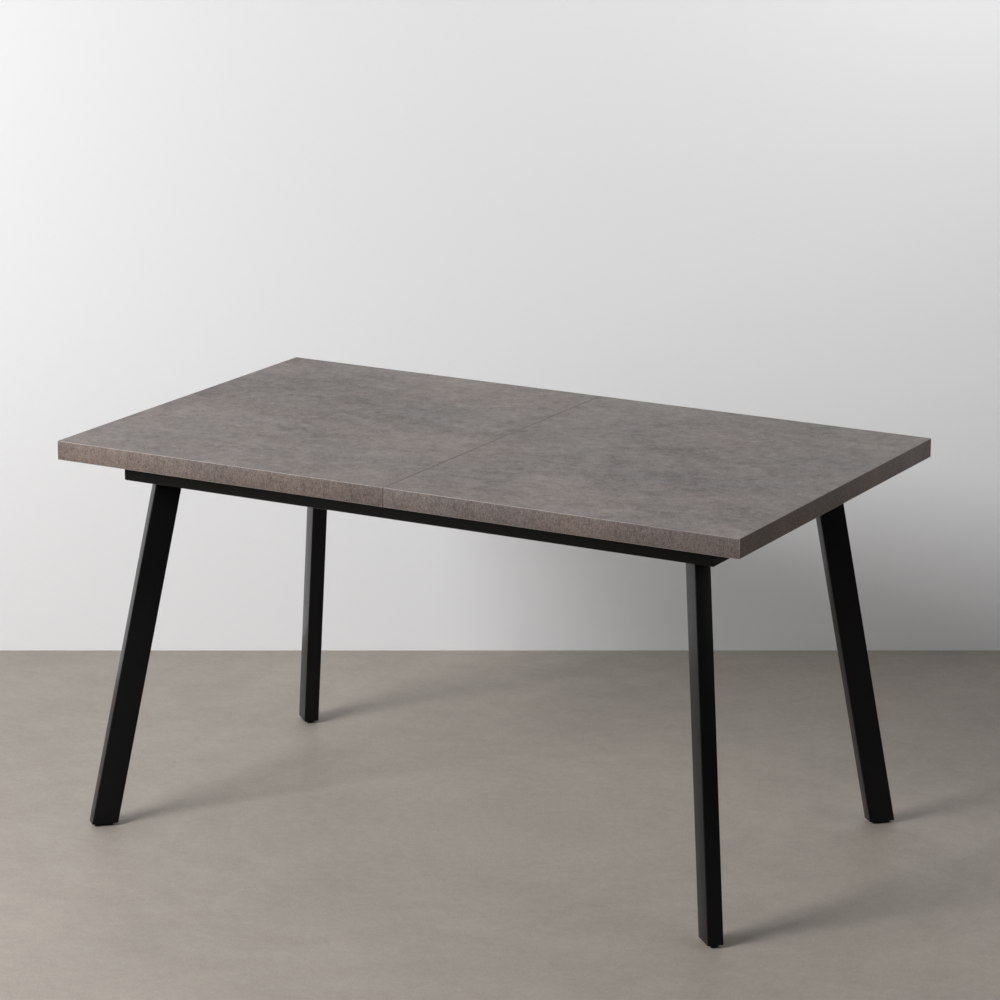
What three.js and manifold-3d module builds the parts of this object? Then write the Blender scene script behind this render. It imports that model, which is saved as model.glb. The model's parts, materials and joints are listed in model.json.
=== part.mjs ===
// Extendable dining table. Two half tops slide apart on a fixed steel frame with four splayed legs,
// and a folded leaf is kept inside the frame.
// Millimetres: +X along the table, +Y to the back, +Z up. The floor is z = 0.
import * as THREE from 'three';
import { mergeVertices } from 'three/addons/utils/BufferGeometryUtils.js';
import Module from 'manifold-3d';

const wasm = await Module();
wasm.setup();

// Table top
const TABLE_LENGTH = 1400;
const TABLE_WIDTH = 855;
const TABLE_HEIGHT = 758;
const TOP_THICKNESS = 36;
const SEAM_GAP = 0.5;
const BAND_THICKNESS = 1.25;

// Frame of rectangular tube
const FRAME_LENGTH = 1222;
const FRAME_WIDTH = 675;
const FRAME_BOTTOM = 674;
const RAIL_HEIGHT = 40;
const RAIL_WIDTH = 20;
const RAIL_CORNER = 3;
const TUBE_WALL = 2;
const BORE_CORNER = 1;

// Legs: rectangular tube set on the diagonal, leaning out by these amounts per unit of drop
const LEG_INSET = 59;
const LEG_LONG_SIDE = 51;
const LEG_SHORT_SIDE = 30;
const LEG_CORNER = 2.5;
const LEAN_X = 0.1355;
const LEAN_Y = 0.1508;
const PAD_HEIGHT = 6;
const PAD_INSET = 8;
const PLUG_HEIGHT = 20;
const PLUG_CLEARANCE = 0.2;
const PLATE_THICKNESS = 5;
const PLATE_SIDE = 110;
const PLATE_CHAMFER = 65;

// Folded leaf and the bars that it lies on
const LEAF_LENGTH = 399;
const LEAF_THICKNESS = 18;
const LEAF_GAP = 0.25;
const LEAF_BAR_X = 150;
const LEAF_BAR_WIDTH = 40;
const LEAF_BAR_THICKNESS = 3;
const HINGE_LENGTH = 380;
const HINGE_PLATE_HEIGHT = 14;
const HINGE_PLATE_THICKNESS = 1.25;
const HINGE_KNUCKLES = 5;
const HINGE_KNUCKLE_RADIUS = 2.8;
const HINGE_KNUCKLE_GAP = 0.3;
const HINGE_PIN_RADIUS = 1.25;
const HINGE_BORE_RADIUS = 1.35;

// Telescopic runners, given as distances from the table's long centre line and as heights
const CHANNEL_LENGTH = 1176;
const CHANNEL_DEPTH = 14;
const CHANNEL_BOTTOM = 681.5;
const CHANNEL_TOP = 713.5;
const CHANNEL_WALL = 1.75;
const CHANNEL_LIP = 5;
const SLIDER_INNER_END = 48;
const SLIDER_LENGTH = 330;
const SLIDER_WALL = 2;
const SLIDER_WEB_Y = 309;
const SLIDER_WEB_LOW = 685.25;
const SLIDER_WEB_HIGH = 709.5;
const SLIDER_ARM_Z = 696.5;
const SLIDER_POST_Y = 297;
const SLIDER_FLANGE_Y = 269;
const GLIDER_LENGTH = 40;
const GLIDER_CLEARANCE = 0.5;
const GLIDER_END_INSET = 2;
const STRIP_LENGTH = 480;
const STRIP_WIDTH = 16;
const STRIP_CLEARANCE = 0.25;

// Dowels that line up the tops and the leaf
const DOWEL_Y = 330;
const DOWEL_RADIUS = 4;
const DOWEL_OUT = 12;
const DOWEL_IN = 20;
const DOWEL_SLACK = 0.4;

// Catches that pull the two half tops together
const CATCH_Y = 241;
const CATCH_PIVOT_X = -20;
const CATCH_STUD_X = 22;
const CATCH_PLATE_THICKNESS = 2;
const CATCH_PLATE_WIDTH = 28;
const CATCH_PIN_RADIUS = 4;
const CATCH_HEAD_RADIUS = 6.5;
const CATCH_STUD_RADIUS = 3.5;
const LEVER_TOP = 719.5;
const LEVER_THICKNESS = 3;
const LEVER_BORE_RADIUS = 4.3;

const TOP_UNDERSIDE = TABLE_HEIGHT - TOP_THICKNESS;
const FRAME_TOP = FRAME_BOTTOM + RAIL_HEIGHT;
const HALF_LENGTH = TABLE_LENGTH / 2;
const HALF_WIDTH = TABLE_WIDTH / 2;
const HALF_SEAM = SEAM_GAP / 2;
const FRAME_X = FRAME_LENGTH / 2;
const FRAME_Y = FRAME_WIDTH / 2;
const INNER_X = FRAME_X - RAIL_WIDTH;
const INNER_Y = FRAME_Y - RAIL_WIDTH;
const DOWEL_Z = TABLE_HEIGHT - LEAF_THICKNESS / 2;
const LEFT = -1;
const RIGHT = 1;
const FRONT = -1;
const BACK = 1;

function material(color, roughness, metalness) {
  return new THREE.MeshStandardMaterial({ color, roughness, metalness });
}

const LAMINATE = material(0x8b857e, 0.5, 0);
const EDGE_BAND = material(0x7a7067, 0.5, 0);
const BLACK_STEEL = material(0x19191b, 0.42, 0.1);
const BLACK_PLASTIC = material(0x101011, 0.6, 0);
const ZINC_STEEL = material(0xa4a8ab, 0.35, 1);
const ALUMINIUM = material(0xb9bcbe, 0.32, 1);
const NYLON = material(0xd8d6cf, 0.55, 0);
const BEECH = material(0xc39a6b, 0.6, 0);

const group = new THREE.Group();
group.name = 'extendable_dining_table';

function add(name, geometry, look) {
  const mesh = new THREE.Mesh(geometry, look.clone());
  mesh.name = name;
  group.add(mesh);
  return mesh;
}

// A box between two corners
function boxBetween(x0, x1, y0, y1, z0, z1) {
  const geometry = new THREE.BoxGeometry(Math.abs(x1 - x0), Math.abs(y1 - y0), Math.abs(z1 - z0));
  geometry.translate((x0 + x1) / 2, (y0 + y1) / 2, (z0 + z1) / 2);
  return geometry;
}

function roundedRectangle(width, height, radius, path = new THREE.Shape()) {
  const w = width / 2 - radius;
  const h = height / 2 - radius;
  path.moveTo(width / 2, -h);
  path.absarc(w, h, radius, 0, Math.PI / 2, false);
  path.absarc(-w, h, radius, Math.PI / 2, Math.PI, false);
  path.absarc(-w, -h, radius, Math.PI, 1.5 * Math.PI, false);
  path.absarc(w, -h, radius, 1.5 * Math.PI, 2 * Math.PI, false);
  path.closePath();
  return path;
}

function tubeSection(width, height, radius) {
  const section = roundedRectangle(width, height, radius);
  const bore = roundedRectangle(
    width - 2 * TUBE_WALL,
    height - 2 * TUBE_WALL,
    BORE_CORNER,
    new THREE.Path(),
  );
  section.holes.push(bore);
  return section;
}

function polygon(points) {
  return new THREE.Shape(points.map(([x, y]) => new THREE.Vector2(x, y)));
}

function extrude(section, depth, curveSegments = 4) {
  return new THREE.ExtrudeGeometry(section, { depth, bevelEnabled: false, curveSegments });
}

// A section drawn in (y, z), extruded from x0 to x1
function extrudeAlongX(section, x0, x1, curveSegments) {
  const geometry = extrude(section, x1 - x0, curveSegments);
  const turn = new THREE.Matrix4().makeBasis(
    new THREE.Vector3(0, 1, 0),
    new THREE.Vector3(0, 0, 1),
    new THREE.Vector3(1, 0, 0),
  );
  geometry.applyMatrix4(turn);
  geometry.translate(x0, 0, 0);
  return geometry;
}

// A section drawn in (x, z), extruded from y0 to y1
function extrudeAlongY(section, y0, y1, curveSegments) {
  const geometry = extrude(section, y1 - y0, curveSegments);
  geometry.rotateX(Math.PI / 2);
  geometry.translate(0, y1, 0);
  return geometry;
}

// A section drawn in (x, y), extruded from z0 to z1
function extrudeAlongZ(section, z0, z1, curveSegments) {
  const geometry = extrude(section, z1 - z0, curveSegments);
  geometry.translate(0, 0, z0);
  return geometry;
}

function cylinderAlongX(radius, x0, x1, y, z, segments = 24) {
  const geometry = new THREE.CylinderGeometry(radius, radius, x1 - x0, segments);
  geometry.rotateZ(Math.PI / 2);
  geometry.translate((x0 + x1) / 2, y, z);
  return geometry;
}

function cylinderAlongZ(radius, x, y, z0, z1, segments = 24) {
  const geometry = new THREE.CylinderGeometry(radius, radius, z1 - z0, segments);
  geometry.rotateX(Math.PI / 2);
  geometry.translate(x, y, (z0 + z1) / 2);
  return geometry;
}

function toSolid(geometry) {
  const plain = geometry.clone();
  plain.deleteAttribute('normal');
  plain.deleteAttribute('uv');
  const merged = mergeVertices(plain, 1e-4);
  return new wasm.Manifold(new wasm.Mesh({
    numProp: 3,
    vertProperties: new Float32Array(merged.attributes.position.array),
    triVerts: new Uint32Array(merged.index.array),
  }));
}

function fromSolid(solid) {
  const mesh = solid.getMesh();
  const geometry = new THREE.BufferGeometry();
  geometry.setAttribute('position', new THREE.BufferAttribute(new Float32Array(mesh.vertProperties), 3));
  geometry.setIndex(new THREE.BufferAttribute(new Uint32Array(mesh.triVerts), 1));
  return geometry;
}

function union(...geometries) {
  return fromSolid(geometries.map(toSolid).reduce((whole, piece) => whole.add(piece)));
}

function cut(geometry, ...tools) {
  return fromSolid(tools.map(toSolid).reduce((whole, tool) => whole.subtract(tool), toSolid(geometry)));
}

// Half tops: a board with a band on each of its four edges. The left one carries dowels,
// and the right one has the holes that they enter.
function addHalfTop(side, word) {
  const outer = side * HALF_LENGTH;
  const seam = side * HALF_SEAM;
  const bandedOuter = outer - side * BAND_THICKNESS;
  const bandedSeam = seam + side * BAND_THICKNESS;
  const bandedY = HALF_WIDTH - BAND_THICKNESS;
  const holeRadius = side === LEFT ? DOWEL_RADIUS + 0.1 : DOWEL_RADIUS + DOWEL_SLACK;
  const holeDepth = side === LEFT ? DOWEL_IN + 1 : DOWEL_OUT + 2;
  const holes = [FRONT, BACK].map((depth) => cylinderAlongX(
    holeRadius,
    side === LEFT ? -holeDepth : -1,
    side === LEFT ? 1 : holeDepth,
    depth * DOWEL_Y,
    DOWEL_Z,
  ));
  const board = boxBetween(bandedSeam, bandedOuter, -bandedY, bandedY, TOP_UNDERSIDE, TABLE_HEIGHT);
  add(`top_board_${word}`, cut(board, ...holes), LAMINATE);
  const seamBand = boxBetween(seam, bandedSeam, -bandedY, bandedY, TOP_UNDERSIDE, TABLE_HEIGHT);
  add(`edge_band_${word}_seam`, cut(seamBand, ...holes), EDGE_BAND);
  const endBand = boxBetween(outer, bandedOuter, -bandedY, bandedY, TOP_UNDERSIDE, TABLE_HEIGHT);
  add(`edge_band_${word}_end`, endBand, EDGE_BAND);
  for (const [depth, place] of [[FRONT, 'front'], [BACK, 'back']]) {
    const y0 = depth * HALF_WIDTH;
    const y1 = depth * bandedY;
    const band = boxBetween(seam, outer, y0, y1, TOP_UNDERSIDE, TABLE_HEIGHT);
    add(`edge_band_${word}_${place}`, band, EDGE_BAND);
  }
}

addHalfTop(LEFT, 'left');
addHalfTop(RIGHT, 'right');

for (const [depth, place] of [[FRONT, 'front'], [BACK, 'back']]) {
  const dowel = cylinderAlongX(DOWEL_RADIUS, -DOWEL_IN, DOWEL_OUT, depth * DOWEL_Y, DOWEL_Z);
  add(`top_dowel_${place}`, dowel, BEECH);
}

// Frame: four hollow rails with mitred corners
function mitre(geometry, along, across) {
  const position = geometry.attributes.position;
  for (let i = 0; i < position.count; i += 1) {
    const end = position.getComponent(i, along);
    const reach = Math.abs(position.getComponent(i, across));
    const shorten = (across === 1 ? FRAME_Y : FRAME_X) - reach;
    position.setComponent(i, along, end - Math.sign(end) * shorten);
  }
  geometry.computeVertexNormals();
  return geometry;
}

const railZ = FRAME_BOTTOM + RAIL_HEIGHT / 2;
for (const [depth, place] of [[FRONT, 'front'], [BACK, 'back']]) {
  const rail = extrudeAlongX(tubeSection(RAIL_WIDTH, RAIL_HEIGHT, RAIL_CORNER), -FRAME_X, FRAME_X);
  rail.translate(0, depth * (FRAME_Y - RAIL_WIDTH / 2), railZ);
  add(`frame_rail_${place}`, mitre(rail, 0, 1), BLACK_STEEL);
}
for (const [side, word] of [[LEFT, 'left'], [RIGHT, 'right']]) {
  const rail = extrudeAlongY(tubeSection(RAIL_WIDTH, RAIL_HEIGHT, RAIL_CORNER), -FRAME_Y, FRAME_Y);
  rail.translate(side * (FRAME_X - RAIL_WIDTH / 2), 0, railZ);
  add(`frame_rail_${word}`, mitre(rail, 1, 0), BLACK_STEEL);
}

// Legs, their plates in the frame's corners, and their feet
function lean(geometry, side, depth) {
  const shear = new THREE.Matrix4().set(
    1, 0, -side * LEAN_X, side * LEAN_X * FRAME_BOTTOM,
    0, 1, -depth * LEAN_Y, depth * LEAN_Y * FRAME_BOTTOM,
    0, 0, 1, 0,
    0, 0, 0, 1,
  );
  geometry.applyMatrix4(shear);
  return geometry;
}

function placeOnLeg(section, z0, z1, side, depth) {
  const geometry = extrudeAlongZ(section, z0, z1);
  geometry.rotateZ(Math.atan2(depth, side) + (side === LEFT ? Math.PI : 0));
  geometry.translate(side * (FRAME_X - LEG_INSET), depth * (FRAME_Y - LEG_INSET), 0);
  return lean(geometry, side, depth);
}

function plugSection(inset) {
  return roundedRectangle(LEG_LONG_SIDE - 2 * inset, LEG_SHORT_SIDE - 2 * inset, BORE_CORNER);
}

for (const [side, word] of [[LEFT, 'left'], [RIGHT, 'right']]) {
  for (const [depth, place] of [[FRONT, 'front'], [BACK, 'back']]) {
    const corner = `${place}_${word}`;
    const plate = polygon([
      [side * INNER_X, depth * INNER_Y],
      [side * (INNER_X - PLATE_SIDE), depth * INNER_Y],
      [side * (INNER_X - PLATE_SIDE), depth * (INNER_Y - PLATE_SIDE + PLATE_CHAMFER)],
      [side * (INNER_X - PLATE_SIDE + PLATE_CHAMFER), depth * (INNER_Y - PLATE_SIDE)],
      [side * INNER_X, depth * (INNER_Y - PLATE_SIDE)],
    ]);
    add(`leg_plate_${corner}`, extrudeAlongZ(plate, FRAME_BOTTOM, FRAME_BOTTOM + PLATE_THICKNESS), BLACK_STEEL);
    const tube = tubeSection(LEG_LONG_SIDE, LEG_SHORT_SIDE, LEG_CORNER);
    add(`leg_${corner}`, placeOnLeg(tube, PAD_HEIGHT, FRAME_BOTTOM, side, depth), BLACK_STEEL);
    const plug = placeOnLeg(
      plugSection(TUBE_WALL + PLUG_CLEARANCE),
      PAD_HEIGHT,
      PAD_HEIGHT + PLUG_HEIGHT,
      side,
      depth,
    );
    const pad = placeOnLeg(plugSection(PAD_INSET), 0, PAD_HEIGHT + 1, side, depth);
    add(`foot_pad_${corner}`, union(plug, pad), BLACK_PLASTIC);
  }
}

// Bars that carry the folded leaf
const leafBottom = FRAME_BOTTOM + LEAF_BAR_THICKNESS;
for (const [side, word] of [[LEFT, 'left'], [RIGHT, 'right']]) {
  const x0 = side * LEAF_BAR_X - LEAF_BAR_WIDTH / 2;
  const x1 = side * LEAF_BAR_X + LEAF_BAR_WIDTH / 2;
  add(`leaf_bar_${word}`, boxBetween(x0, x1, -INNER_Y, INNER_Y, FRAME_BOTTOM, leafBottom), BLACK_STEEL);
}

// Folded leaf: its halves lie face to face, with a piano hinge along their back edge.
// Dowels stand out of its right edge, and holes for the half top's dowels are in its left edge.
const foldY = HALF_WIDTH / 2;
const foldZ = leafBottom + LEAF_THICKNESS + LEAF_GAP / 2;
for (const [level, word] of [[-1, 'lower'], [1, 'upper']]) {
  const near = foldZ + level * LEAF_GAP / 2;
  const far = near + level * LEAF_THICKNESS;
  const y = foldY - DOWEL_Y;
  const z = near + level * LEAF_THICKNESS / 2;
  const edge = LEAF_LENGTH / 2;
  const leftHole = cylinderAlongX(DOWEL_RADIUS + DOWEL_SLACK, -edge - 1, -edge + DOWEL_OUT + 2, y, z);
  const rightHole = cylinderAlongX(DOWEL_RADIUS + 0.1, edge - DOWEL_IN - 1, edge + 1, y, z);
  const board = boxBetween(-edge, edge, -foldY, foldY, near, far);
  add(`leaf_${word}_half`, cut(board, leftHole, rightHole), LAMINATE);
  add(`leaf_dowel_${word}`, cylinderAlongX(DOWEL_RADIUS, edge - DOWEL_IN, edge + DOWEL_OUT, y, z), BEECH);
}

const pinY = foldY + HINGE_KNUCKLE_RADIUS;
const knucklePitch = HINGE_LENGTH / HINGE_KNUCKLES;
for (const [level, word] of [[-1, 'lower'], [1, 'upper']]) {
  const inset = HINGE_KNUCKLE_GAP;
  const plateFar = foldZ + level * HINGE_PLATE_HEIGHT;
  const plateNear = foldZ + level * (HINGE_KNUCKLE_RADIUS + inset);
  const plateY = foldY + HINGE_PLATE_THICKNESS;
  let hinge = boxBetween(-HINGE_LENGTH / 2, HINGE_LENGTH / 2, foldY, plateY, plateNear, plateFar);
  for (let i = 0; i < HINGE_KNUCKLES; i += 1) {
    const own = (i % 2 === 0) === (level === -1);
    if (own) {
      const x0 = -HINGE_LENGTH / 2 + i * knucklePitch + inset / 2;
      const x1 = x0 + knucklePitch - inset;
      const barrel = cylinderAlongX(HINGE_KNUCKLE_RADIUS, x0, x1, pinY, foldZ);
      const neck = boxBetween(x0, x1, foldY, plateY, foldZ, plateNear + level);
      const bore = cylinderAlongX(HINGE_BORE_RADIUS, x0 - 1, x1 + 1, pinY, foldZ);
      hinge = cut(union(hinge, barrel, neck), bore);
    }
  }
  add(`leaf_hinge_${word}`, hinge, ZINC_STEEL);
}
const hingePin = cylinderAlongX(HINGE_PIN_RADIUS, -HINGE_LENGTH / 2, HINGE_LENGTH / 2, pinY, foldZ, 16);
add('leaf_hinge_pin', hingePin, ZINC_STEEL);

// Runners: a lipped channel on each long rail, and a sliding profile under each half top
function channelSection(depth) {
  const wallY = INNER_Y;
  const mouthY = INNER_Y - CHANNEL_DEPTH;
  const low = CHANNEL_BOTTOM + CHANNEL_WALL;
  const high = CHANNEL_TOP - CHANNEL_WALL;
  const lipY = mouthY + CHANNEL_WALL;
  const floorY = wallY - CHANNEL_WALL;
  return polygon([
    [depth * wallY, CHANNEL_BOTTOM],
    [depth * wallY, CHANNEL_TOP],
    [depth * mouthY, CHANNEL_TOP],
    [depth * mouthY, high - CHANNEL_LIP],
    [depth * lipY, high - CHANNEL_LIP],
    [depth * lipY, high],
    [depth * floorY, high],
    [depth * floorY, low],
    [depth * lipY, low],
    [depth * lipY, low + CHANNEL_LIP],
    [depth * mouthY, low + CHANNEL_LIP],
    [depth * mouthY, CHANNEL_BOTTOM],
  ]);
}

function sliderSection(depth) {
  const webY = SLIDER_WEB_Y + SLIDER_WALL;
  const armTop = SLIDER_ARM_Z + SLIDER_WALL;
  const postY = SLIDER_POST_Y + SLIDER_WALL;
  const flangeZ = TOP_UNDERSIDE - SLIDER_WALL;
  return polygon([
    [depth * webY, SLIDER_WEB_LOW],
    [depth * webY, SLIDER_WEB_HIGH],
    [depth * SLIDER_WEB_Y, SLIDER_WEB_HIGH],
    [depth * SLIDER_WEB_Y, armTop],
    [depth * postY, armTop],
    [depth * postY, TOP_UNDERSIDE],
    [depth * SLIDER_FLANGE_Y, TOP_UNDERSIDE],
    [depth * SLIDER_FLANGE_Y, flangeZ],
    [depth * SLIDER_POST_Y, flangeZ],
    [depth * SLIDER_POST_Y, SLIDER_ARM_Z],
    [depth * SLIDER_WEB_Y, SLIDER_ARM_Z],
    [depth * SLIDER_WEB_Y, SLIDER_WEB_LOW],
  ]);
}

// A nylon block that fills the channel around the sliding profile's web
function gliderSection(depth) {
  const mouthY = INNER_Y - CHANNEL_DEPTH + CHANNEL_WALL + GLIDER_CLEARANCE;
  const floorY = INNER_Y - CHANNEL_WALL - GLIDER_CLEARANCE;
  const low = CHANNEL_BOTTOM + CHANNEL_WALL + GLIDER_CLEARANCE;
  const high = CHANNEL_TOP - CHANNEL_WALL - GLIDER_CLEARANCE;
  const webY = SLIDER_WEB_Y + SLIDER_WALL;
  const armTop = SLIDER_ARM_Z + SLIDER_WALL;
  return polygon([
    [depth * floorY, low],
    [depth * floorY, high],
    [depth * mouthY, high],
    [depth * mouthY, armTop],
    [depth * SLIDER_WEB_Y, armTop],
    [depth * SLIDER_WEB_Y, SLIDER_WEB_HIGH],
    [depth * webY, SLIDER_WEB_HIGH],
    [depth * webY, SLIDER_WEB_LOW],
    [depth * SLIDER_WEB_Y, SLIDER_WEB_LOW],
    [depth * SLIDER_WEB_Y, SLIDER_ARM_Z],
    [depth * mouthY, SLIDER_ARM_Z],
    [depth * mouthY, low],
  ]);
}

for (const [depth, place] of [[FRONT, 'front'], [BACK, 'back']]) {
  const channel = extrudeAlongX(channelSection(depth), -CHANNEL_LENGTH / 2, CHANNEL_LENGTH / 2);
  add(`runner_channel_${place}`, channel, ZINC_STEEL);
  for (const [side, word] of [[LEFT, 'left'], [RIGHT, 'right']]) {
    const inner = SLIDER_INNER_END;
    const outer = SLIDER_INNER_END + SLIDER_LENGTH;
    const ends = [side * inner, side * outer].sort((a, b) => a - b);
    add(`runner_slide_${place}_${word}`, extrudeAlongX(sliderSection(depth), ...ends), ALUMINIUM);
    const innerBlock = side * (inner + GLIDER_END_INSET + GLIDER_LENGTH / 2);
    const outerBlock = side * (outer - GLIDER_END_INSET - GLIDER_LENGTH / 2);
    for (const [x, end] of [[innerBlock, 'inner'], [outerBlock, 'outer']]) {
      const block = extrudeAlongX(gliderSection(depth), x - GLIDER_LENGTH / 2, x + GLIDER_LENGTH / 2);
      add(`glider_${place}_${word}_${end}`, block, NYLON);
    }
  }
}

// Nylon strips on the end rails, which the half tops slide over
for (const [side, word] of [[LEFT, 'left'], [RIGHT, 'right']]) {
  const middle = side * (FRAME_X - RAIL_WIDTH / 2);
  const strip = boxBetween(
    middle - STRIP_WIDTH / 2,
    middle + STRIP_WIDTH / 2,
    -STRIP_LENGTH / 2,
    STRIP_LENGTH / 2,
    FRAME_TOP,
    TOP_UNDERSIDE - STRIP_CLEARANCE,
  );
  add(`glide_strip_${word}`, strip, NYLON);
}

// Catches: a base and lever under the left half top, and a keeper under the right one.
// The lever is drawn unlatched, pointing away from the table's long centre line.
const plateZ = TOP_UNDERSIDE - CATCH_PLATE_THICKNESS;
const leverBottom = LEVER_TOP - LEVER_THICKNESS;

function catchPlate(x0, x1, y) {
  const section = roundedRectangle(x1 - x0, CATCH_PLATE_WIDTH, 4);
  const geometry = extrudeAlongZ(section, plateZ, TOP_UNDERSIDE);
  geometry.translate((x0 + x1) / 2, y, 0);
  return geometry;
}

// Outline of a lever whose pivot is at the origin and whose arm, when latched, runs along +x.
// The notch that takes the keeper's stud opens on the side that leads as the lever closes.
function leverSection(depth) {
  const reach = CATCH_STUD_X - CATCH_PIVOT_X;
  const notchNear = reach - CATCH_STUD_RADIUS - 2.5;
  const notchFar = reach + CATCH_STUD_RADIUS + 0.5;
  const outline = [
    [-24, -5],
    [-24, 5],
    [-8, 7],
    [reach - 8, 7],
    [reach - 4, 9],
    [reach + 6, 9],
    [reach + 9, 6],
    [reach + 9, -10],
    [notchFar, -10],
    [notchFar, CATCH_STUD_RADIUS + 0.3],
    [notchNear, CATCH_STUD_RADIUS + 0.3],
    [notchNear, -7],
    [-8, -7],
  ];
  const section = polygon(outline.map(([x, y]) => [x, depth * y]));
  const bore = new THREE.Path();
  bore.absarc(0, 0, LEVER_BORE_RADIUS, 0, 2 * Math.PI, false);
  section.holes.push(bore);
  return section;
}

for (const [depth, place] of [[FRONT, 'front'], [BACK, 'back']]) {
  const y = depth * CATCH_Y;
  const base = catchPlate(-62, -12, y);
  const pin = cylinderAlongZ(CATCH_PIN_RADIUS, CATCH_PIVOT_X, y, leverBottom - 1, plateZ + 1);
  const head = cylinderAlongZ(CATCH_HEAD_RADIUS, CATCH_PIVOT_X, y, leverBottom - 1.2, leverBottom - 0.2);
  add(`catch_base_${place}`, union(base, pin, head), ZINC_STEEL);
  const lever = extrudeAlongZ(leverSection(depth), leverBottom, LEVER_TOP, 12);
  lever.rotateZ(depth * Math.PI / 2);
  lever.translate(CATCH_PIVOT_X, y, 0);
  add(`catch_lever_${place}`, lever, BLACK_PLASTIC);
  const keeper = catchPlate(12, 52, y);
  const stud = cylinderAlongZ(CATCH_STUD_RADIUS, CATCH_STUD_X, y, leverBottom - 0.4, plateZ + 1);
  add(`catch_keeper_${place}`, union(keeper, stud), ZINC_STEEL);
}

export default group;
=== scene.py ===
import json
import math
import bmesh
import bpy
from mathutils import Matrix, Vector
from mathutils.geometry import convex_hull_2d


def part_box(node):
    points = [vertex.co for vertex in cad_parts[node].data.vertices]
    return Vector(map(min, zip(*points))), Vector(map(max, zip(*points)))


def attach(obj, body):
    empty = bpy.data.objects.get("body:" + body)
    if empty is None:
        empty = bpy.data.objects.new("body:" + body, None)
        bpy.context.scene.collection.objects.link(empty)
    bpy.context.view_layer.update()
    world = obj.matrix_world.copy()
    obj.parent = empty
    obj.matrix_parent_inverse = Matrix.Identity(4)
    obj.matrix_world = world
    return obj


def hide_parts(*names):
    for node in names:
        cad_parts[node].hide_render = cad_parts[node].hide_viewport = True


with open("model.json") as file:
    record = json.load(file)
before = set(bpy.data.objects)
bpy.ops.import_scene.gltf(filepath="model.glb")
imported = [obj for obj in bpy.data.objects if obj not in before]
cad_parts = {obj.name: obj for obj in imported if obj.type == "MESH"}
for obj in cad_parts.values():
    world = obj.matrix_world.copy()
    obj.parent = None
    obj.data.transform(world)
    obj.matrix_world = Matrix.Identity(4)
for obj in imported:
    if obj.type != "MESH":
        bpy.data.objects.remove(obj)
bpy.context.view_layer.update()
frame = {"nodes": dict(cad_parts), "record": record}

# ---------------------------------------------------------------- materials


# The Mix node has one set of sockets for each kind of data. These are the places of the colour ones.
MIX_COLOUR_A = 6
MIX_COLOUR_B = 7
MIX_COLOUR_RESULT = 2


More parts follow.
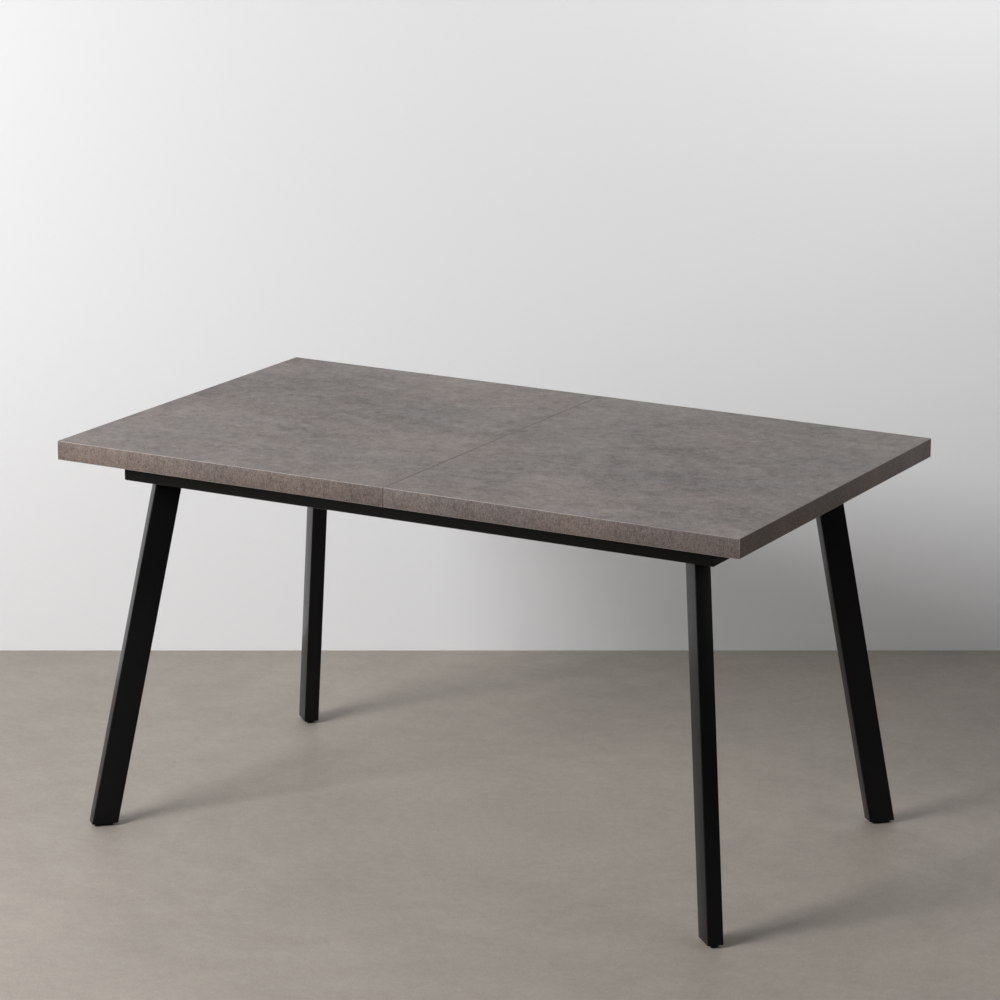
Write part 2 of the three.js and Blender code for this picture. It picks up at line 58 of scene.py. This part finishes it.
class Look:
    """A procedural material: a Principled shader, with helpers that add the nodes which feed it."""

    def __init__(self, name, rough=0.5, metallic=0.0, specular=0.5):
        self.mat = bpy.data.materials.new(name)
        self.mat.use_nodes = True
        self.tree = self.mat.node_tree
        self.tree.nodes.clear()
        self.out = self.tree.nodes.new("ShaderNodeOutputMaterial")
        self.bsdf = self.tree.nodes.new("ShaderNodeBsdfPrincipled")
        self.tree.links.new(self.bsdf.outputs[0], self.out.inputs[0])
        self.bsdf.inputs["Roughness"].default_value = rough
        self.bsdf.inputs["Metallic"].default_value = metallic
        self.bsdf.inputs["Specular IOR Level"].default_value = specular
        self.coords = self.tree.nodes.new("ShaderNodeTexCoord").outputs["Object"]

    def link(self, value, socket):
        """Feeds socket from a node's output, or sets it to a constant. Constant colours have no alpha."""
        if isinstance(value, bpy.types.NodeSocket):
            self.tree.links.new(value, socket)
        elif socket.type == "RGBA":
            socket.default_value = (*value, 1.0)
        else:
            socket.default_value = value

    def stretch(self, scale, offset=(0, 0, 0)):
        """Object coordinates times scale, so that a pattern's grain can run along one axis."""
        node = self.tree.nodes.new("ShaderNodeMapping")
        self.tree.links.new(self.coords, node.inputs["Vector"])
        node.inputs["Scale"].default_value = scale
        node.inputs["Location"].default_value = offset
        return node.outputs[0]

    def noise(self, scale, detail=4.0, rough=0.55, vector=None, distortion=0.0):
        node = self.tree.nodes.new("ShaderNodeTexNoise")
        self.tree.links.new(vector or self.coords, node.inputs["Vector"])
        node.inputs["Scale"].default_value = scale
        node.inputs["Detail"].default_value = detail
        node.inputs["Roughness"].default_value = rough
        node.inputs["Distortion"].default_value = distortion
        return node.outputs["Fac"]

    def math(self, kind, a, b=0.0, c=0.0):
        node = self.tree.nodes.new("ShaderNodeMath")
        node.operation = kind
        for value, socket in zip((a, b, c), node.inputs):
            self.link(value, socket)
        return node.outputs[0]

    def band(self, value, low, high, out_low=0.0, out_high=1.0):
        """value mapped from low..high to out_low..out_high, and held at the ends."""
        node = self.tree.nodes.new("ShaderNodeMapRange")
        self.tree.links.new(value, node.inputs["Value"])
        node.inputs["From Min"].default_value = low
        node.inputs["From Max"].default_value = high
        node.inputs["To Min"].default_value = out_low
        node.inputs["To Max"].default_value = out_high
        return node.outputs[0]

    def mix(self, amount, a, b, kind="MIX"):
        node = self.tree.nodes.new("ShaderNodeMix")
        node.data_type = "RGBA"
        node.blend_type = kind
        self.link(amount, node.inputs["Factor"])
        self.link(a, node.inputs[MIX_COLOUR_A])
        self.link(b, node.inputs[MIX_COLOUR_B])
        return node.outputs[MIX_COLOUR_RESULT]

    def grey(self, value):
        node = self.tree.nodes.new("ShaderNodeCombineColor")
        for socket in node.inputs:
            self.link(value, socket)
        return node.outputs[0]

    def colour(self, value):
        self.link(value, self.bsdf.inputs["Base Color"])

    def rough(self, value):
        self.link(value, self.bsdf.inputs["Roughness"])

    def bump(self, *layers):
        """Layers of (height, distance in metres), stacked into one normal."""
        normal = None
        for height, distance in layers:
            node = self.tree.nodes.new("ShaderNodeBump")
            node.inputs["Strength"].default_value = 1.0
            node.inputs["Distance"].default_value = distance
            self.tree.links.new(height, node.inputs["Height"])
            if normal is not None:
                self.tree.links.new(normal, node.inputs["Normal"])
            normal = node.outputs[0]
        self.tree.links.new(normal, self.bsdf.inputs["Normal"])


def grain_value(look, *layers):
    """Noises added about their middle, near 1. Each layer is (scale, strength, vector, distortion)."""
    total = 1.0
    for scale, strength, vector, distortion in layers:
        part = look.noise(scale, 2.0, vector=vector, distortion=distortion)
        total = look.math("MULTIPLY_ADD", part, strength, total)
    return look.math("SUBTRACT", total, sum(layer[1] for layer in layers) / 2)


def laminate():
    """Concrete-look laminate, mottled at every scale from a plate's width down to grit."""
    look = Look("concrete_laminate", specular=0.4)
    drawn = look.stretch((0.75, 1.0, 1.0), (3.1, 1.7, 0.0))
    tint = look.noise(4.2, 6.0, 0.62, look.stretch((0.7, 1.0, 1.0), (11.0, 5.0, 0.0)), 0.4)
    base = look.mix(look.band(tint, 0.38, 0.62), (0.185, 0.149, 0.133), (0.157, 0.138, 0.129))
    value = grain_value(
        look,
        (3.0, 0.80, drawn, 0.8),
        (8.0, 0.85, drawn, 1.6),
        (26.0, 0.62, look.coords, 1.6),
        (80.0, 1.00, look.coords, 0.0),
        (260.0, 1.35, look.coords, 0.0),
    )
    wisp = look.noise(11.0, 5.0, 0.68, look.stretch((0.6, 1.0, 1.0), (2.0, 8.0, 0.0)), 1.6)
    value = look.math("SUBTRACT", value, look.band(wisp, 0.56, 0.70, 0.0, 0.17))
    cloud = look.noise(6.0, 4.0, 0.6, look.stretch((0.7, 1.0, 1.0), (7.0, 3.0, 0.0)), 1.2)
    value = look.math("ADD", value, look.band(cloud, 0.55, 0.72, 0.0, 0.16))
    look.colour(look.mix(1.0, base, look.grey(value), "MULTIPLY"))
    look.rough(look.band(look.noise(30.0, 3.0, 0.6), 0.3, 0.7, 0.40, 0.52))
    look.bump((look.noise(900.0, 2.0), 0.00004))
    return look.mat


def edge_band(name, painted_light_gain):
    """Printed edge band: broad brown and grey patches, short upright streaks and a fine speckle. The gain
    gives a lighter copy (painted light) and a darker copy (painted shade) of the same band.
    """
    look = Look(name, specular=0.4)
    upright = look.stretch((1.0, 1.0, 0.65))
    patches = look.noise(4.5, 1.5, 0.5, look.stretch((1.0, 1.0, 0.5), (4.0, 9.0, 1.0)), 0.3)
    base = look.mix(look.band(patches, 0.34, 0.66), (0.142, 0.108, 0.094), (0.113, 0.092, 0.085))
    value = grain_value(
        look,
        (9.0, 0.6, look.stretch((1.0, 1.0, 0.2), (2.0, 5.0, 3.0)), 0.0),
        (60.0, 0.4, look.stretch((1.0, 1.0, 0.3), (7.0, 1.0, 3.0)), 0.0),
        (200.0, 1.0, upright, 0.0),
        (520.0, 2.1, upright, 0.0),
    )
    # The gain brightens or darkens the whole print: painted light and shade, not a different band.
    look.colour(look.mix(1.0, base, look.grey(look.math("MULTIPLY", value, painted_light_gain)), "MULTIPLY"))
    look.rough(0.5)
    look.bump((look.noise(700.0, 2.0), 0.00005))
    return look.mat


def band_core():
    """The band's plain core, which shows where its edges are scraped round; its light colour is also a
    painted highlight along the rounded edges.
    """
    look = Look("edge_band_core_and_painted_highlight", specular=0.45)
    wear = look.noise(60.0, 3.0, 0.6)
    # Light core colours: the band's own core, and a painted highlight along the rounded edges.
    look.colour(look.mix(look.band(wear, 0.35, 0.65), (0.300, 0.266, 0.245), (0.380, 0.345, 0.322)))
    look.rough(look.band(wear, 0.3, 0.7, 0.38, 0.5))
    return look.mat


def powder_coat():
    """Satin black coating with a slight orange peel."""
    look = Look("black_powder_coat", specular=0.16)
    peel = look.noise(700.0, 2.0, 0.5)
    haze = look.noise(6.0, 3.0, 0.5)
    look.colour(look.mix(look.band(haze, 0.3, 0.7), (0.0046, 0.0049, 0.0055), (0.0058, 0.0062, 0.0069)))
    look.rough(look.band(haze, 0.3, 0.7, 0.2, 0.27))
    look.bump((peel, 0.00003))
    return look.mat


def black_plastic():
    """Moulded plastic with a fine grain."""
    look = Look("black_moulded_plastic", specular=0.4)
    grain = look.noise(1500.0, 2.0, 0.6)
    look.colour(look.mix(grain, (0.0085, 0.0085, 0.009), (0.016, 0.016, 0.017)))
    look.rough(look.band(grain, 0.3, 0.7, 0.5, 0.65))
    look.bump((grain, 0.00005))
    return look.mat


def zinc_steel():
    """Zinc-plated sheet, cloudy and with faint rolling lines."""
    look = Look("zinc_plated_steel", metallic=1.0)
    cloud = look.noise(45.0, 4.0, 0.6)
    rolled = look.noise(300.0, 2.0, 0.6, look.stretch((0.05, 1.0, 1.0)))
    base = look.mix(look.band(cloud, 0.35, 0.65), (0.52, 0.54, 0.56), (0.66, 0.67, 0.68))
    look.colour(look.mix(look.band(rolled, 0.4, 0.7, 0.0, 0.3), base, (0.42, 0.43, 0.44)))
    look.rough(look.band(cloud, 0.3, 0.7, 0.28, 0.42))
    look.bump((rolled, 0.00003))
    return look.mat


def extruded_aluminium():
    """Bare aluminium with drawing lines along the profile."""
    look = Look("extruded_aluminium", metallic=1.0)
    drawn = look.noise(600.0, 2.0, 0.6, look.stretch((0.02, 1.0, 1.0)))
    look.colour(look.mix(drawn, (0.72, 0.73, 0.74), (0.84, 0.845, 0.85)))
    look.rough(look.band(drawn, 0.3, 0.7, 0.26, 0.38))
    look.bump((drawn, 0.00004))
    return look.mat


def nylon():
    """White nylon, slightly mottled."""
    look = Look("white_nylon", specular=0.45)
    cloud = look.noise(60.0, 3.0, 0.5)
    look.colour(look.mix(cloud, (0.70, 0.69, 0.65), (0.78, 0.77, 0.74)))
    look.rough(look.band(cloud, 0.3, 0.7, 0.42, 0.55))
    look.bump((look.noise(1200.0, 2.0), 0.00003))
    return look.mat


def beech():
    """Beech with its grain and short dark flecks along the dowel."""
    look = Look("beech_dowel", specular=0.3)
    grain = look.noise(220.0, 4.0, 0.6, look.stretch((0.06, 1.0, 1.0)), 0.4)
    fleck = look.noise(900.0, 2.0, 0.6, look.stretch((0.25, 1.0, 1.0)))
    base = look.mix(look.band(grain, 0.35, 0.65), (0.60, 0.40, 0.23), (0.48, 0.29, 0.15))
    look.colour(look.mix(look.band(fleck, 0.6, 0.75, 0.0, 0.5), base, (0.30, 0.17, 0.08)))
    look.rough(0.65)
    look.bump((grain, 0.0001))
    return look.mat


LAMINATE = laminate()
# One band made twice, by which way the faces point: the ends' copy painted lighter as painted light, the
# long sides' copy darker as painted shade.
BAND_X_PAINTED_DARKER = edge_band("edge_band_long_sides_painted_shade", 0.94)
BAND_Y_PAINTED_LIGHTER = edge_band("edge_band_ends_painted_light", 1.16)
CORE_AND_PAINTED_HIGHLIGHT = band_core()
POWDER = powder_coat()
PLASTIC = black_plastic()
ZINC = zinc_steel()
ALUMINIUM = extruded_aluminium()
NYLON = nylon()
BEECH = beech()

SLOT_LOOKS = {
    "laminate_board": LAMINATE,
    "edge_band": BAND_X_PAINTED_DARKER,
    "black_steel": POWDER,
    "black_plastic": PLASTIC,
    "zinc_steel": ZINC,
    "aluminium_profile": ALUMINIUM,
    "nylon": NYLON,
    "beech": BEECH,
}

# ---------------------------------------------------------------- pieces

NODE_SLOTS = {part["node"]: part["material_slot"] for part in frame["record"]["subparts"]}
BODIES = frame["record"]["behaviour"]["bodies"]
NODE_BODIES = {node: body for body, nodes in BODIES.items() for node in nodes}
LEAF_HALVES = ("leaf_lower_half", "leaf_upper_half")
LEAF_LOOKS = (LAMINATE, BAND_X_PAINTED_DARKER, BAND_Y_PAINTED_LIGHTER, CORE_AND_PAINTED_HIGHLIGHT)
SMOOTH_ANGLE = math.radians(35)
FLAT_ANGLE = math.radians(1)
WELD_DISTANCE = 1e-6
BEVEL_SEGMENTS = 3
STRAIGHT = 0.99

# Roundings this near to the seam between the half tops keep the band's look. The others show its core, whose
# light colour is also a painted highlight.
SEAM_REACH = 0.001


def finish_mesh(bm, name, looks, body):
    """Turns bm into a piece that rides on body. Its edges are smooth where the faces meet at a low angle."""
    bmesh.ops.recalc_face_normals(bm, faces=bm.faces)
    mesh = bpy.data.meshes.new(name)
    bm.to_mesh(mesh)
    bm.free()
    mesh.polygons.foreach_set("use_smooth", [True] * len(mesh.polygons))
    mesh.set_sharp_from_angle(angle=SMOOTH_ANGLE)
    for look in looks:
        mesh.materials.append(look)
    piece = bpy.data.objects.new(name, mesh)
    bpy.context.scene.collection.objects.link(piece)
    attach(piece, body)
    return piece


def leaf_look(normal):
    """The place in LEAF_LOOKS for a leaf half's face: board, band on the long sides (painted darker) or ends
    (painted lighter), or core (with its painted highlight).
    """
    faces_x, faces_y, faces_z = (abs(part) > STRAIGHT for part in normal)
    if faces_z:
        return 0
    if faces_y:
        return 1
    return 2 if faces_x else 3


def softened(node, radius):
    """Stands in for a CAD node with the node's own shape, its sharp edges rounded."""
    bm = bmesh.new()
    bm.from_mesh(frame["nodes"][node].data)
    bmesh.ops.remove_doubles(bm, verts=bm.verts, dist=WELD_DISTANCE)
    bmesh.ops.dissolve_limit(bm, angle_limit=FLAT_ANGLE, verts=bm.verts, edges=bm.edges)
    inner_edges = [edge for edge in bm.edges if len(edge.link_faces) == 2]
    rounded = bmesh.ops.bevel(
        bm,
        geom=[edge for edge in inner_edges if edge.calc_face_angle(0) > SMOOTH_ANGLE],
        offset=radius,
        offset_type="OFFSET",
        segments=BEVEL_SEGMENTS,
        profile=0.5,
        affect="EDGES",
        clamp_overlap=True,
    )
    slot = NODE_SLOTS[node]
    if node in LEAF_HALVES:
        looks = LEAF_LOOKS
        for face in bm.faces:
            face.material_index = leaf_look(face.normal)
    elif slot == "edge_band":
        looks = [BAND_Y_PAINTED_LIGHTER if node.endswith("_end") else BAND_X_PAINTED_DARKER, CORE_AND_PAINTED_HIGHLIGHT]
        for face in rounded["faces"]:
            face.material_index = 1 if abs(face.calc_center_median().x) > SEAM_REACH else 0
    else:
        looks = [SLOT_LOOKS[slot]]
    piece = finish_mesh(bm, node + "_detail", looks, NODE_BODIES[node])
    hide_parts(node)


# The radius of the rounding in metres, by how a node's name starts. The first that fits is used.
ROUNDING = {
    "edge_band": 0.0009,
    "frame_rail": 0.0005,
    "leg_plate": 0.0006,
    "leg_": 0.0006,
    "foot_pad": 0.0010,
    "leaf_bar": 0.0005,
    "leaf_lower_half": 0.0006,
    "leaf_upper_half": 0.0006,
    "leaf_hinge_lower": 0.0002,
    "leaf_hinge_upper": 0.0002,
    "runner_channel": 0.0004,
    "runner_slide": 0.0004,
    "glider": 0.0005,
    "glide_strip": 0.0010,
    "catch_base": 0.0004,
    "catch_keeper": 0.0004,
    "catch_lever": 0.0008,
    "top_dowel": 0.0008,
    "leaf_dowel": 0.0008,
    "leaf_hinge_pin": 0.0003,
}

for node, slot in NODE_SLOTS.items():
    rounding = next((radius for start, radius in ROUNDING.items() if node.startswith(start)), None)
    if rounding:
        softened(node, rounding)
    else:
        for material_slot in frame["nodes"][node].material_slots:
            material_slot.material = SLOT_LOOKS[slot]


# Screws with a cross recess. A head faces +Z, with its seat at z = 0. The recess is in parts of the radius.
CROSS_ARM = 0.62
CROSS_HALF_WIDTH = 0.2
CROSS_FLOOR_TAPER = 0.55
ROUND_STEPS = 32
FIRST_TURN = 0.3
NEXT_TURN = 2.4


def ring(bm, points):
    """A closed ring of new vertices, with its edges."""
    verts = [bm.verts.new(point) for point in points]
    return verts, [bm.edges.new((a, b)) for a, b in zip(verts, verts[1:] + verts[:1])]


def round_points(radius, z):
    turns = [2 * math.pi * step / ROUND_STEPS for step in range(ROUND_STEPS)]
    return [(radius * math.cos(turn), radius * math.sin(turn), z) for turn in turns]


def cross_points(radius, z, taper=1.0):
    """The outline of a cross: three corners, turned a quarter three times."""
    arm = CROSS_ARM * radius * taper
    half = CROSS_HALF_WIDTH * radius * taper
    corner = [(arm, -half), (arm, half), (half, half)]
    points = []
    for turn in range(4):
        points += [(x, y, z) for x, y in corner]
        corner = [(-y, x) for x, y in corner]
    return points


def join_rings(bm, lower, upper):
    for i in range(len(lower)):
        bm.faces.new((lower[i - 1], lower[i], upper[i], upper[i - 1]))


def screw_head(radius, profile, depth):
    """A turned head. The profile holds (part of the radius, height) pairs from the seat up to the recess."""
    bm = bmesh.new()
    rings = [ring(bm, round_points(radius * part, z)) for part, z in profile]
    bm.faces.new(reversed(rings[0][0]))
    for lower, upper in zip(rings, rings[1:]):
        join_rings(bm, lower[0], upper[0])
    top = profile[-1][1]
    mouth = ring(bm, cross_points(radius, top))
    bmesh.ops.triangle_fill(bm, edges=rings[-1][1] + mouth[1], use_beauty=True)
    pit = ring(bm, cross_points(radius, top - depth, CROSS_FLOOR_TAPER))
    join_rings(bm, pit[0], mouth[0])
    bm.faces.new(pit[0])
    return bm


def pan_head(radius, height):
    """A low wall with a dome on it."""
    angles = [math.radians(angle) for angle in (0, 18, 36, 54, 68)]
    rise = [0.3 + 0.7 * math.sin(angle) / math.sin(angles[-1]) for angle in angles]
    dome = [(0.45 + 0.55 * math.cos(angle), height * part) for angle, part in zip(angles, rise)]
    return screw_head(radius, [(0.97, 0.0), *dome], 0.6 * height)


def flat_head(radius, height):
    """The rim of a countersunk head, which stands a little proud of its hole."""
    return screw_head(radius, [(0.98, 0.0), (1.0, 0.6 * height), (0.94, height)], 0.8 * height)


def screws(name, body, head, places, facing):
    """Copies of a head at places, all facing one way. Each recess is turned by a different amount."""
    bm = bmesh.new()
    turn_to = Vector(facing).to_track_quat("Z", "Y").to_matrix().to_4x4()
    source = bpy.data.meshes.new(name + "_head")
    head.to_mesh(source)
    head.free()
    for i, place in enumerate(places):
        first = len(bm.verts)
        bm.from_mesh(source)
        bm.verts.ensure_lookup_table()
        matrix = Matrix.Translation(place) @ turn_to @ Matrix.Rotation(NEXT_TURN * i + FIRST_TURN, 4, "Z")
        bmesh.ops.transform(bm, matrix=matrix, verts=bm.verts[first:])
    bpy.data.meshes.remove(source)
    finish_mesh(bm, name, [ZINC], body)


# Where the screws sit, in metres: along each piece from its ends, and across it. Then the plates they hold.
CHANNEL_SCREW_INSETS = (0.03, 0.13, 0.588)
SLIDE_SCREW_INSETS = (0.025, 0.12, 0.21, 0.305)
HINGE_SCREW_INSETS = (0.03, 0.11, 0.19, 0.27, 0.35)
CATCH_SCREW_SPREAD = 0.008
CATCH_SCREW_INSET = 0.008
SLIDE_SCREW_LINE = 0.013
HINGE_SCREW_LINE = 0.0088
CHANNEL_WALL = 0.00175
TOP_PLATE = 0.002
HINGE_PLATE = 0.00125


def spread(low, high, insets):
    """Places between low and high at insets from low, and the same ones mirrored."""
    return sorted({round(low + inset, 6) for inset in insets} | {round(high - inset, 6) for inset in insets})


# The profiles' flanges and the catch plates under the tops are all TOP_PLATE thick, so they share a seat.
for place, outward in (("front", -1), ("back", 1)):
    low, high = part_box("runner_channel_" + place)
    floor_y = high.y - CHANNEL_WALL if outward > 0 else low.y + CHANNEL_WALL
    middle_z = (low.z + high.z) / 2
    spots = [Vector((x, floor_y, middle_z)) for x in spread(low.x, high.x, CHANNEL_SCREW_INSETS)]
    screws("channel_screws_" + place, "base", flat_head(0.0042, 0.0003), spots, (0, -outward, 0))
    for word in ("left", "right"):
        low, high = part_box(f"runner_slide_{place}_{word}")
        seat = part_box("top_board_" + word)[0].z - TOP_PLATE
        flange_y = low.y + SLIDE_SCREW_LINE if outward > 0 else high.y - SLIDE_SCREW_LINE
        spots = [Vector((x, flange_y, seat)) for x in spread(low.x, high.x, SLIDE_SCREW_INSETS)]
        screws(f"slide_screws_{place}_{word}", word + "_top", pan_head(0.0045, 0.0022), spots, (0, 0, -1))
    for plate, body, outer in (("catch_base_", "left_top", 0), ("catch_keeper_", "right_top", 1)):
        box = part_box(plate + place)
        x = box[outer].x + CATCH_SCREW_INSET * (1 - 2 * outer)
        middle_y = (box[0].y + box[1].y) / 2
        spots = [Vector((x, middle_y + side * CATCH_SCREW_SPREAD, seat)) for side in (-1, 1)]
        screws(f"{plate}screws_{place}", body, pan_head(0.0036, 0.0018), spots, (0, 0, -1))

fold_z = (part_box("leaf_hinge_pin")[0].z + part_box("leaf_hinge_pin")[1].z) / 2
for word, level in (("lower", -1), ("upper", 1)):
    low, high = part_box("leaf_hinge_" + word)
    face_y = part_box(f"leaf_{word}_half")[1].y + HINGE_PLATE
    line_z = fold_z + level * HINGE_SCREW_LINE
    spots = [Vector((x, face_y, line_z)) for x in spread(low.x, high.x, HINGE_SCREW_INSETS)]
    screws("hinge_screws_" + word, "base", flat_head(0.0028, 0.0003), spots, (0, 1, 0))


# A weld bead around the top of each leg, where it meets its plate. Its section is (out, down) in bead sizes.
BEAD_SIZE = 0.0032
BEAD_STEP = 0.0009
BEAD_SECTION = ((-0.3, 0.0), (-0.3, 0.95), (0.12, 0.85), (0.5, 0.5), (0.85, 0.12), (0.95, 0.0))
RIPPLE_STEPS = 3
RIPPLE_HEIGHT = 0.1
RIM_DEPTH = 1e-5


def weld_bead(name, node):
    """Walks round the leg's top outline in short steps and sets the bead's rippled section at each."""
    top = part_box(node)[1].z
    rim = [vertex.co for vertex in frame["nodes"][node].data.vertices if top - vertex.co.z < RIM_DEPTH]
    corners = [rim[i] for i in convex_hull_2d([co.xy for co in rim])]
    path = []
    for a, b in zip(corners, corners[1:] + corners[:1]):
        along = b - a
        steps = max(1, round(along.length / BEAD_STEP))
        outward = Vector((along.y, -along.x, 0)).normalized()
        path += [(a + along * step / steps, outward) for step in range(steps)]
    bm = bmesh.new()
    sections = []
    for i, (point, outward) in enumerate(path):
        size = BEAD_SIZE * (1 + RIPPLE_HEIGHT * math.sin(2 * math.pi * i / RIPPLE_STEPS))
        spots = [point + size * (out * outward - down * Vector((0, 0, 1))) for out, down in BEAD_SECTION]
        sections.append([bm.verts.new(spot) for spot in spots])
    for before, after in zip(sections, sections[1:] + sections[:1]):
        join_rings(bm, before, after)
    finish_mesh(bm, name, [POWDER], "base")


for place in ("front", "back"):
    for word in ("left", "right"):
        weld_bead(f"leg_weld_{place}_{word}", f"leg_{place}_{word}")

# ---------------------------------------------------------------- stage, light and camera

# The wall stands across the view, behind the table. Distances are from the middle of the table.
TO_WALL = Vector((-0.5038, 0.8638, 0.0))
ALONG_WALL = Vector((0.8638, 0.5038, 0.0))
WALL_DISTANCE = 1.161
WALL_REACH = 9.0
WALL_HALF_HEIGHT = Vector((0, 0, 3.0))
FLOOR_REACH = 16.0


def sheet(name, origin, u, v, material):
    """A flat rectangle that spans origin ± u ± v."""
    mesh = bpy.data.meshes.new(name)
    mesh.from_pydata([origin - u - v, origin + u - v, origin + u + v, origin - u + v], [], [(0, 1, 2, 3)])
    piece = bpy.data.objects.new(name, mesh)
    bpy.context.scene.collection.objects.link(piece)
    piece.data.materials.append(material)


def one_sided(look):
    """Leaves only the front of a stage surface to be seen, so that it never hides the part."""
    nodes = look.tree.nodes
    side = nodes.new("ShaderNodeNewGeometry").outputs["Backfacing"]
    mixed = nodes.new("ShaderNodeMixShader")
    look.link(side, mixed.inputs[0])
    look.link(look.bsdf.outputs[0], mixed.inputs[1])
    look.link(nodes.new("ShaderNodeBsdfTransparent").outputs[0], mixed.inputs[2])
    look.link(mixed.outputs[0], look.out.inputs[0])
    return look.mat


def floor_look():
    look = Look("pale_floor", specular=0.35)
    value = grain_value(
        look,
        (1.4, 0.22, look.coords, 0.0),
        (5.0, 0.18, look.coords, 0.0),
        (17.0, 0.14, look.coords, 0.0),
        (60.0, 0.20, look.coords, 0.0),
        (240.0, 0.32, look.coords, 0.0),
        (700.0, 0.60, look.coords, 0.0),
    )
    look.colour(look.mix(1.0, (0.344, 0.307, 0.268), look.grey(value), "MULTIPLY"))
    look.rough(look.band(look.noise(9.0, 4.0, 0.6), 0.3, 0.7, 0.45, 0.6))
    return one_sided(look)


def wall_look():
    look = Look("pale_wall", rough=0.9, specular=0.1)
    cloud = look.noise(0.8, 2.0, 0.5)
    look.colour(look.mix(cloud, (0.825, 0.833, 0.845), (0.84, 0.848, 0.86)))
    return one_sided(look)


WALL_MIDDLE = TO_WALL * WALL_DISTANCE + WALL_HALF_HEIGHT
sheet("floor", Vector(), ALONG_WALL * FLOOR_REACH, TO_WALL * FLOOR_REACH, floor_look())
sheet("wall", WALL_MIDDLE, ALONG_WALL * WALL_REACH, WALL_HALF_HEIGHT, wall_look())


def area_light(name, place, target, width, height, watts):
    """A rectangular light at place that faces target. The camera doesn't see it."""
    lamp = bpy.data.lights.new(name, "AREA")
    lamp.shape = "RECTANGLE"
    lamp.size = width
    lamp.size_y = height
    lamp.energy = watts
    piece = bpy.data.objects.new(name, lamp)
    aim = (Vector(target) - Vector(place)).to_track_quat("-Z", "Y")
    piece.matrix_world = Matrix.Translation(place) @ aim.to_matrix().to_4x4()
    piece.visible_camera = False
    bpy.context.scene.collection.objects.link(piece)
    return piece


area_light("key", (-1.6, -3.5, 2.6), (0, 0, 0.5), 1.5, 1.2, 170)
area_light("key_edge", (-2.4, -2.6, 1.7), (0, 0, 0.5), 1.4, 1.2, 24)
area_light("left_fill", (-3.6, -1.9, 1.8), (0, 0, 0.5), 3.0, 2.5, 23)
area_light("top_fill", (-2.0, 0.3, 3.5), (0, 0, 0.3), 2.5, 2.5, 8)
area_light("right_fill", (3.5, 0.0, 2.5), (0, 0, 0.5), 3.0, 3.0, 29)
wall_spot = TO_WALL * WALL_DISTANCE + ALONG_WALL * 1.2 + Vector((0, 0, 1.9))
wash_place = wall_spot - TO_WALL * 1.6 + ALONG_WALL * 0.6 + Vector((0, 0, 1.0))
wall_wash = area_light("wall_wash", wash_place, wall_spot, 1.0, 1.0, 6)
wall_wash.data.spread = math.radians(75)

world = bpy.data.worlds.new("studio")
world.use_nodes = True
world.node_tree.nodes["Background"].inputs["Color"].default_value = (1.0, 1.0, 1.0, 1.0)
world.node_tree.nodes["Background"].inputs["Strength"].default_value = 0.03
bpy.context.scene.world = world
bpy.context.scene.view_settings.view_transform = "Standard"

# The camera's place, turn and focal length were fitted to the outlines of the table in the photograph.
YAW = -0.4927
PITCH = -0.2506
ROLL = 0.0101
FOCAL_MM = 140.05
CAMERA_PLACE = Vector((3.36088, -6.24598, 2.45662))

forward = Vector((math.sin(YAW) * math.cos(PITCH), math.cos(YAW) * math.cos(PITCH), math.sin(PITCH)))
level_right = forward.cross(Vector((0, 0, 1))).normalized()
level_up = level_right.cross(forward)
right = math.cos(ROLL) * level_right + math.sin(ROLL) * level_up
up = math.cos(ROLL) * level_up - math.sin(ROLL) * level_right
lens = bpy.data.cameras.new("camera")
lens.sensor_width = 36
lens.lens = FOCAL_MM
lens.clip_end = 100
camera = bpy.data.objects.new("camera", lens)
camera.matrix_world = Matrix.Translation(CAMERA_PLACE) @ Matrix((right, up, -forward)).transposed().to_4x4()
bpy.context.scene.collection.objects.link(camera)
bpy.context.scene.camera = camera
